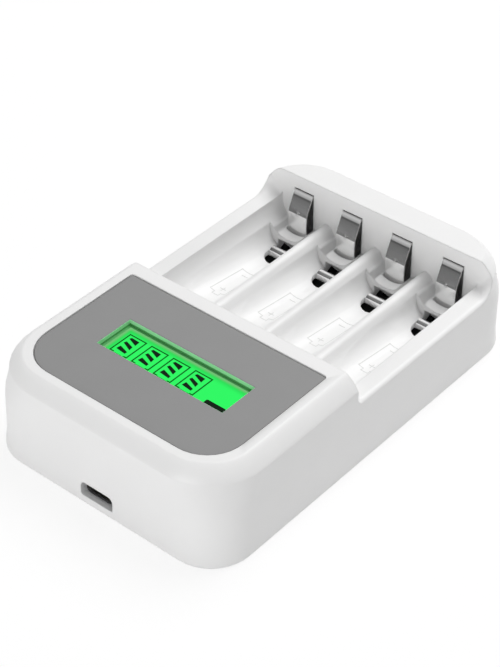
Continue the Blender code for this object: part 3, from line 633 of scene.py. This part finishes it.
def flat_plate(bm: bmesh.types.BMesh, outline: list[Point2], low: float, high: float) -> None:
    """Add a flat plate to a mesh.

    Args:
        bm: The mesh.
        outline: The plate's outline in X and Y, anticlockwise seen from above.
        low: Z of its underside.
        high: Z of its top.
    """
    lower = [bm.verts.new((x, y, low)) for x, y in outline]
    upper = [bm.verts.new((x, y, high)) for x, y in outline]
    bm.faces.new(lower[::-1])
    bm.faces.new(upper)
    for index, corner in enumerate(lower):
        after = (index + 1) % len(lower)
        bm.faces.new((corner, lower[after], upper[after], upper[index]))


@dataclass
class Housing:
    """The two mouldings of the case and the screws between them.

    Attributes:
        crisp: The angle from which an edge of the mouldings stays crisp, in degrees.
    """

    crisp: float = 30.0

    def build(self) -> bpy.types.Object:
        """Dress the mouldings and the screws.

        Returns:
            The upper moulding's skin.
        """
        upper = skin("upper_housing", "gloss_white", self.crisp)
        skin("base_cover", "satin_white", self.crisp)
        for bay in BAYS:
            skin(f"base_screw_{bay}", "screw_zinc")
        return upper


@dataclass
class BayMarks:
    """The cell signs moulded into the floor of each bay, in a grey that is painted shade along
    their lines.

    Attributes:
        pitch: Distance between the bays.
        line: Width of a moulded line.
        rise: How far a line stands proud.
        half_width: Half the width of the cell sign.
        far_y: Y of the sign's end towards the head.
        near_y: Y of its end towards the deck.
        nub_half: Half the width of its nub.
        nub_length: Length of its nub.
        arm: Half the length of a stroke of its plus and minus.
        plus_inset: Distance from its near end to the plus.
        minus_inset: Distance from its far end to the minus.
        probe_z: Height above the bays from which the floor is looked for.
        step: Longest stretch of a stroke between two places on the floor.
        shoulder: Share of a stroke's width that stands at full height.
    """

    pitch: float = 16.0 * MM
    line: float = 0.28 * MM
    rise: float = 0.03 * MM
    half_width: float = 2.4 * MM
    far_y: float = 25.0 * MM
    near_y: float = 12.2 * MM
    nub_half: float = 1.0 * MM
    nub_length: float = 1.0 * MM
    arm: float = 0.8 * MM
    plus_inset: float = 2.2 * MM
    minus_inset: float = 2.0 * MM
    probe_z: float = 22.0 * MM
    step: float = 0.5 * MM
    shoulder: float = 0.7

    def strokes(self) -> list[list[Point2]]:
        """Return the sign's strokes about a bay's centre."""
        sign = [
            (self.nub_half, self.near_y),
            (self.half_width, self.near_y),
            (self.half_width, self.far_y),
            (-self.half_width, self.far_y),
            (-self.half_width, self.near_y),
            (-self.nub_half, self.near_y),
            (-self.nub_half, self.near_y - self.nub_length),
            (self.nub_half, self.near_y - self.nub_length),
            (self.nub_half, self.near_y),
        ]
        plus_y = self.near_y + self.plus_inset
        minus_y = self.far_y - self.minus_inset
        return [
            sign,
            [(-self.arm, plus_y), (self.arm, plus_y)],
            [(0.0, plus_y - self.arm), (0.0, plus_y + self.arm)],
            [(-self.arm, minus_y), (self.arm, minus_y)],
        ]

    def lay(self, bm: bmesh.types.BMesh, tree: BVHTree, start: Point2, end: Point2) -> None:
        """Lay one straight stroke on the floor of a bay.

        Args:
            bm: The mesh that takes the stroke.
            tree: The moulding that carries it.
            start: X and Y of its start.
            end: X and Y of its end.
        """
        begin, finish = Vector((*start, 0)), Vector((*end, 0))
        along = (finish - begin).normalized()
        side = Vector((-along.y, along.x, 0)) * self.line / 2
        begin -= along * self.line / 2
        finish += along * self.line / 2
        steps = max(2, round((finish - begin).length / self.step))
        section = ((-1.0, -1), (-self.shoulder, 1), (self.shoulder, 1), (1.0, -1))
        rows = []
        for index in range(steps + 1):
            middle = begin.lerp(finish, index / steps)
            row = []
            for offset, rise in section:
                spot = middle + side * offset
                hit = tree.ray_cast(Vector((spot.x, spot.y, self.probe_z)), Vector((0, 0, -1)))[0]
                row.append(bm.verts.new(hit + Vector((0, 0, rise * self.rise))))
            rows.append(row)
        for row, after in zip(rows, rows[1:]):
            for index in range(len(section)):
                other = (index + 1) % len(section)
                bm.faces.new((row[index], row[other], after[other], after[index]))
        bm.faces.new(rows[0][::-1])
        bm.faces.new(rows[-1])

    def build(self, upper: bpy.types.Object) -> None:
        """Make the signs of all the bays.

        Args:
            upper: The upper moulding's skin.
        """
        tree = BVHTree.FromObject(upper, bpy.context.evaluated_depsgraph_get())
        for bay in BAYS:
            centre = (bay - (len(BAYS) + 1) / 2) * self.pitch
            bm = bmesh.new()
            for stroke in self.strokes():
                for start, end in zip(stroke, stroke[1:]):
                    self.lay(bm, tree, (start[0] + centre, start[1]), (end[0] + centre, end[1]))
            bmesh.ops.recalc_face_normals(bm, faces=bm.faces)
            # The signs' grey is painted shade along the moulded lines.
            piece_of(f"bay_sign_{bay}", bm, "mark_painted_shade")


@dataclass
class Display:
    """The panel, the display in its window and the signs that the display shows.

    Attributes:
        icon_pitch: Distance between the cell signs.
        icon_left: X of the first sign's left side.
        icon_far: Y of the signs' far end.
        icon_width: Width of a sign.
        icon_length: Length of a sign.
        stroke: Width of a sign's outline.
        ink: Thickness of the shown segments.
        border: Width of the dark border round the lit field, painted shade from the foot of the
            window's walls.
        lining: Thickness of the pale green sheet on the window's walls, which carries the painted
            glow of the display.
        painted_shade_skirt: How far the dark border rises up the window's walls.
        film: Thickness of the border and of what else lies on the display.
        clear: How far the lining starts above the display.
        inset: How far it ends below the panel's top.
        nub_left: Distance from a sign's left side to its nub.
        nub_right: Distance from its right side to its nub.
        nub_drop: How far the nub stands out.
        opening: Low and high X and low and high Y of the window.
        badge: Low and high X and low and high Y of the badge.
        badge_cut: Size of the badge's cut corners.
        bars: Corners of a sign's bars, in millimetres from its far left corner.
    """

    icon_pitch: float = 6.857 * MM
    icon_left: float = -16.33 * MM
    icon_far: float = -27.9 * MM
    icon_width: float = 5.48 * MM
    icon_length: float = 7.4 * MM
    stroke: float = 0.36 * MM
    ink: float = 0.02 * MM
    border: float = 0.85 * MM
    lining: float = 0.12 * MM
    painted_shade_skirt: float = 0.5 * MM
    film: float = 0.03 * MM
    clear: float = 0.02 * MM
    inset: float = 0.1 * MM
    nub_left: float = 1.35 * MM
    nub_right: float = 1.1 * MM
    nub_drop: float = 0.34 * MM
    opening: tuple[float, float, float, float] = (-18.85 * MM, 20.05 * MM, -36.79 * MM, -25.19 * MM)
    badge: tuple[float, float, float, float] = (13.1 * MM, 18.9 * MM, -36.0 * MM, -34.0 * MM)
    badge_cut: float = 0.3 * MM
    bars: tuple[tuple[Point2, ...], ...] = (
        ((1.35, -0.88), (1.04, -1.5), (3.92, -2.6), (3.82, -1.0)),
        ((1.25, -2.6), (0.95, -3.38), (3.96, -4.66), (3.8, -3.4)),
        ((1.24, -4.68), (1.0, -5.98), (4.0, -6.32), (4.02, -5.52)),
    )

    def frame_plates(self, bm: bmesh.types.BMesh, width: float, low: float, high: float) -> None:
        """Add a rectangular frame of one width inside the window.

        Args:
            bm: The mesh that takes it.
            width: The frame's width.
            low: Z of its underside.
            high: Z of its top.
        """
        x0, x1, y0, y1 = self.opening
        outer = [(x0, y0), (x1, y0), (x1, y1), (x0, y1)]
        x0, x1, y0, y1 = x0 + width, x1 - width, y0 + width, y1 - width
        inner = [(x0, y0), (x1, y0), (x1, y1), (x0, y1)]
        rings = []
        for outline, z in ((outer, low), (outer, high), (inner, high), (inner, low)):
            rings.append([bm.verts.new((x, y, z)) for x, y in outline])
        for index, ring in enumerate(rings):
            following = rings[(index + 1) % len(rings)]
            for corner in range(len(ring)):
                after = (corner + 1) % len(ring)
                bm.faces.new((ring[corner], ring[after], following[after], following[corner]))

    def build(self) -> None:
        """Dress the panel and make what shows in its window."""
        skin("display_panel", "panel_paint")
        skin("lcd_glass", "display_glow")
        skin("backlight", "milky_guide")
        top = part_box("lcd_glass")[1].z
        panel_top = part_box("display_panel")[1].z
        # A pale green sheet on the window's walls is painted light: the display's glow falling on
        # them.
        bm = bmesh.new()
        self.frame_plates(bm, self.lining, top + self.clear, panel_top - self.inset)
        bmesh.ops.recalc_face_normals(bm, faces=bm.faces)
        piece_of("window_painted_glow", bm, "window_painted_glow")
        # A dark green border on the display's edge, rising up the foot of the window's walls, is
        # painted shade.
        bm = bmesh.new()
        self.frame_plates(bm, self.border, top, top + self.film)
        self.frame_plates(bm, self.lining + self.film, top, top + self.painted_shade_skirt)
        bmesh.ops.recalc_face_normals(bm, faces=bm.faces)
        piece_of("display_painted_shade", bm, "display_painted_shade")
        self.build_signs(top)

    def build_signs(self, top: float) -> None:
        """Make the cell signs and the small badge that the display shows.

        Args:
            top: Z of the display's face.
        """
        outlines = bmesh.new()
        bars = bmesh.new()
        for index in range(len(BAYS)):
            left = self.icon_left + index * self.icon_pitch
            right = left + self.icon_width
            far = self.icon_far
            near = far - self.icon_length
            line = self.stroke
            nub_start, nub_end = left + self.nub_left, right - self.nub_right
            nub_near = near - self.nub_drop
            runs = [
                (left, near, left + line, far),
                (right - line, near, right, far),
                (left + line, far - line, right - line, far),
                (left + line, near, nub_start, near + line),
                (nub_end, near, right - line, near + line),
                (nub_start, nub_near, nub_end, nub_near + line),
            ]
            for x0, y0, x1, y1 in runs:
                run = [(x0, y0), (x1, y0), (x1, y1), (x0, y1)]
                flat_plate(outlines, run, top, top + self.ink)
            for bar in self.bars:
                outline = [(left + x * MM, far + y * MM) for x, y in bar]
                flat_plate(bars, outline, top, top + self.ink)
        x0, x1, y0, y1 = self.badge
        cut = self.badge_cut
        badge = [(x0, y0), (x1, y0), (x1, y1 - cut), (x1 - cut, y1), (x0 + cut, y1), (x0, y1 - cut)]
        flat_plate(bars, badge, top, top + self.ink)
        for name, bm, finish in (
            ("cell_sign_outlines", outlines, "segment_green"),
            ("cell_sign_bars", bars, "segment_black"),
        ):
            bmesh.ops.recalc_face_normals(bm, faces=bm.faces)
            piece_of(name, bm, finish)


@dataclass
class Contacts:
    """The sprung leaves and the fixed contacts of the bays.

    Attributes:
        crisp: The angle from which an edge of the sheet stays crisp, in degrees.
        bend_z: Height of the bend of a small leaf.
        face_z: Height of the foot of its face.
        root_z: Height below which it stands upright.
        lean: How far the foot of its face stands towards the deck.
    """

    crisp: float = 40.0
    bend_z: float = 9.0 * MM
    face_z: float = 7.4 * MM
    root_z: float = 6.2 * MM
    lean: float = 0.55 * MM

    def lean_face(self, leaf: bpy.types.Object) -> None:
        """Lean the face of a small leaf back towards its bend.

        Args:
            leaf: The leaf.
        """
        for vertex in leaf.data.vertices:
            z = vertex.co.z
            above = (self.bend_z - z) / (self.bend_z - self.face_z)
            below = (z - self.root_z) / (self.face_z - self.root_z)
            vertex.co.y -= self.lean * max(0.0, min(above, below, 1.0))

    def build(self) -> None:
        """Dress the contacts of every bay."""
        for bay in BAYS:
            skin(f"aa_spring_contact_{bay}", "large_leaf_painted_reflections", self.crisp)
            self.lean_face(skin(f"aaa_spring_contact_{bay}", "small_leaf_painted_reflections", self.crisp))
            skin(f"positive_contact_{bay}", "spring_sheet", self.crisp)


@dataclass
class Inlet:
    """The inlet's shell, its tongue and the tongue's contact pads.

    Attributes:
        pads: Pads on each face of the tongue.
        pitch: Distance between the pads.
        width: Width of a pad.
        thickness: How far a pad stands proud.
        start: Distance from the tongue's tip to a pad.
        end: Distance from the tongue's tip to the pad's far end.
        tip: Length of the tongue's tip at which its thickness is read.
    """

    pads: int = 12
    pitch: float = 0.5 * MM
    width: float = 0.26 * MM
    thickness: float = 0.02 * MM
    start: float = 0.5 * MM
    end: float = 3.2 * MM
    tip: float = 0.1 * MM

    def build(self) -> None:
        """Dress the inlet and make its pads."""
        skin("usb_shell", "inlet_sheet")
        tongue = skin("usb_tongue", "tongue_resin")
        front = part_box("usb_tongue")[0].y
        tips = [v.co.z for v in tongue.data.vertices if v.co.y < front + self.tip]
        low, high = min(tips), max(tips)
        y0, y1 = front + self.start, front + self.end
        bm = bmesh.new()
        for index in range(self.pads):
            x = (index - (self.pads - 1) / 2) * self.pitch
            x0, x1 = x - self.width / 2, x + self.width / 2
            outline = [(x0, y0), (x1, y0), (x1, y1), (x0, y1)]
            flat_plate(bm, outline, high, high + self.thickness)
            flat_plate(bm, outline, low - self.thickness, low)
        bmesh.ops.recalc_face_normals(bm, faces=bm.faces)
        piece_of("inlet_pads", bm, "pad_gold")


@dataclass
class Boards:
    """The boards and what stands on them."""

    def build(self) -> None:
        """Dress the boards and their parts."""
        wear = {
            "main_board": "solder_mask",
            "display_board": "solder_mask",
            "controller_chip": "chip_resin",
            "converter_chip": "chip_resin",
            "board_header": "chip_resin",
            "power_inductor": "ferrite_core",
            "capacitor_1": "drawn_can",
            "capacitor_2": "drawn_can",
        }
        for bay in BAYS:
            wear[f"charge_transistor_{bay}"] = "chip_resin"
        for node, finish in wear.items():
            skin(node, finish)


@dataclass(frozen=True)
class Lamp:
    """One round soft lamp that points at the object.

    Attributes:
        name: Its name.
        place: Where it hangs, in metres.
        size: Its diameter, in metres.
        power: Its power, in watts.
    """

    name: str
    place: Point3
    size: float
    power: float


@dataclass
class Studio:
    """The pale floor, the soft lamps, the white surround and the camera.

    Attributes:
        target: What the camera looks at.
        azimuth: Where the camera stands, in degrees from the front, towards +X.
        elevation: How high it stands, in degrees.
        distance: How far it stands.
        lens: Focal length, in millimetres.
        film: Size of the film's long side, in millimetres.
        surround: Level at which the surround lights the object.
        paper_share: Share of the floor's own white in what is seen of it.
        paper_lift: Strength of that white.
        paper_drop: How far the floor lies below the case, so that the two never share a plane.
        paper_half: Half the width of the floor, in metres.
        paper_greys: The two greys that its faint clouds mix.
        paper_cloud: Width of those clouds, in metres.
        paper_roughness: Roughness of the floor.
        paper_gloss: Level of its gloss.
        lamps: The lamps.
        clip: The nearest distance that the camera sees, in metres.
    """

    target: Point3 = (-4.78 * MM, 2.29 * MM, 13.26 * MM)
    azimuth: float = 40.14
    elevation: float = 38.82
    distance: float = 477.9 * MM
    lens: float = 104.4
    film: float = 36.0
    surround: float = 0.28
    paper_share: float = 0.82
    paper_lift: float = 1.04
    paper_drop: float = 0.15 * MM
    paper_half: float = 3.0
    paper_greys: Point2 = (0.87, 0.88)
    paper_cloud: float = 0.3
    paper_roughness: float = 0.9
    paper_gloss: float = 0.1
    lamps: tuple[Lamp, ...] = (
        Lamp("key", (0.06, 0.48, 0.92), 0.8, 8.4),
        Lamp("fill", (0.12, -1.0, 0.06), 0.7, 6.8),
    )
    clip: float = 0.01

    def build(self) -> None:
        """Set up everything round the object."""
        self.build_floor()
        self.build_world()
        self.build_lamps()
        self.build_camera()
        bpy.context.scene.view_settings.view_transform = "Standard"

    def seen(self, nodes: bpy.types.Nodes, links: bpy.types.NodeLinks) -> bpy.types.NodeSocket:
        """Tell the rays that see a thing, straight or in gloss or glass, from those that light it.

        Args:
            nodes: The nodes of the material or the world.
            links: Its links.

        Returns:
            1 for a ray that sees, 0 for one that lights.
        """
        path = nodes.new("ShaderNodeLightPath")
        mask = path.outputs["Is Camera Ray"]
        for kind in ("Is Glossy Ray", "Is Transmission Ray"):
            either = nodes.new("ShaderNodeMath")
            either.operation = "MAXIMUM"
            links.new(mask, either.inputs[0])
            links.new(path.outputs[kind], either.inputs[1])
            mask = either.outputs["Value"]
        return mask

    def build_floor(self) -> None:
        """Make the pale floor, which keeps the object's shadow."""
        bm = bmesh.new()
        half = self.paper_half
        square = ((-half, -half), (half, -half), (half, half), (-half, half))
        corners = [bm.verts.new((x, y, -self.paper_drop)) for x, y in square]
        bm.faces.new(corners)
        mesh = bpy.data.meshes.new("floor")
        bm.to_mesh(mesh)
        bm.free()
        floor = bpy.data.objects.new("floor", mesh)
        bpy.context.scene.collection.objects.link(floor)
        graph = Graph("floor_paper")
        shader = graph.shader
        cloudy = graph.spread(graph.noise(self.paper_cloud), 0.0, 1.0)
        dark, light = ((grey, grey, grey) for grey in self.paper_greys)
        graph.links.new(graph.blend(cloudy, dark, light), shader.inputs["Base Color"])
        shader.inputs["Roughness"].default_value = self.paper_roughness
        shader.inputs["Specular IOR Level"].default_value = self.paper_gloss
        lift = graph.add("ShaderNodeEmission")
        lift.inputs["Color"].default_value = (1, 1, 1, 1)
        lift.inputs["Strength"].default_value = self.paper_lift
        share = graph.add("ShaderNodeMath", operation="MULTIPLY")
        graph.links.new(self.seen(graph.nodes, graph.links), share.inputs[0])
        share.inputs[1].default_value = self.paper_share
        total = graph.add("ShaderNodeMixShader")
        graph.links.new(share.outputs["Value"], total.inputs["Fac"])
        graph.links.new(shader.outputs["BSDF"], total.inputs[1])
        graph.links.new(lift.outputs["Emission"], total.inputs[2])
        output = graph.nodes["Material Output"]
        graph.links.new(total.outputs["Shader"], output.inputs["Surface"])
        floor.data.materials.append(graph.material)

    def build_world(self) -> None:
        """Make the surround: white to the camera, soft grey as a light."""
        world = bpy.data.worlds.new("surround")
        world.use_nodes = True
        nodes, links = world.node_tree.nodes, world.node_tree.links
        background = nodes["Background"]
        mix = nodes.new("ShaderNodeMix")
        mix.data_type = "RGBA"
        mix.inputs["A"].default_value = (self.surround, self.surround, self.surround, 1)
        mix.inputs["B"].default_value = (1, 1, 1, 1)
        links.new(self.seen(nodes, links), mix.inputs["Factor"])
        links.new(mix.outputs["Result"], background.inputs["Color"])
        bpy.context.scene.world = world

    def build_lamps(self) -> None:
        """Make the soft lamps."""
        for lamp in self.lamps:
            light = bpy.data.lights.new(lamp.name, "AREA")
            light.shape = "DISK"
            light.size = lamp.size
            light.energy = lamp.power
            made = bpy.data.objects.new(lamp.name, light)
            made.location = lamp.place
            way = Vector(self.target) - Vector(lamp.place)
            made.rotation_euler = way.to_track_quat("-Z", "Y").to_euler()
            bpy.context.scene.collection.objects.link(made)

    def build_camera(self) -> None:
        """Make the camera."""
        azimuth, elevation = math.radians(self.azimuth), math.radians(self.elevation)
        back = Vector(
            (
                math.sin(azimuth) * math.cos(elevation),
                -math.cos(azimuth) * math.cos(elevation),
                math.sin(elevation),
            )
        )
        lens = bpy.data.cameras.new("camera")
        lens.sensor_fit = "VERTICAL"
        lens.sensor_height = self.film
        lens.lens = self.lens
        lens.clip_start = self.clip
        camera = bpy.data.objects.new("camera", lens)
        camera.location = Vector(self.target) + back * self.distance
        camera.rotation_euler = (-back).to_track_quat("-Z", "Y").to_euler()
        bpy.context.scene.collection.objects.link(camera)
        bpy.context.scene.camera = camera


def main() -> None:
    """Build every sub-assembly in order."""
    logging.basicConfig(level=logging.INFO, format="%(name)s %(message)s")
    Studio().build()
    upper = Housing().build()
    BayMarks().build(upper)
    Display().build()
    Contacts().build()
    Inlet().build()
    Boards().build()


if __name__ == "__main__":
    main()
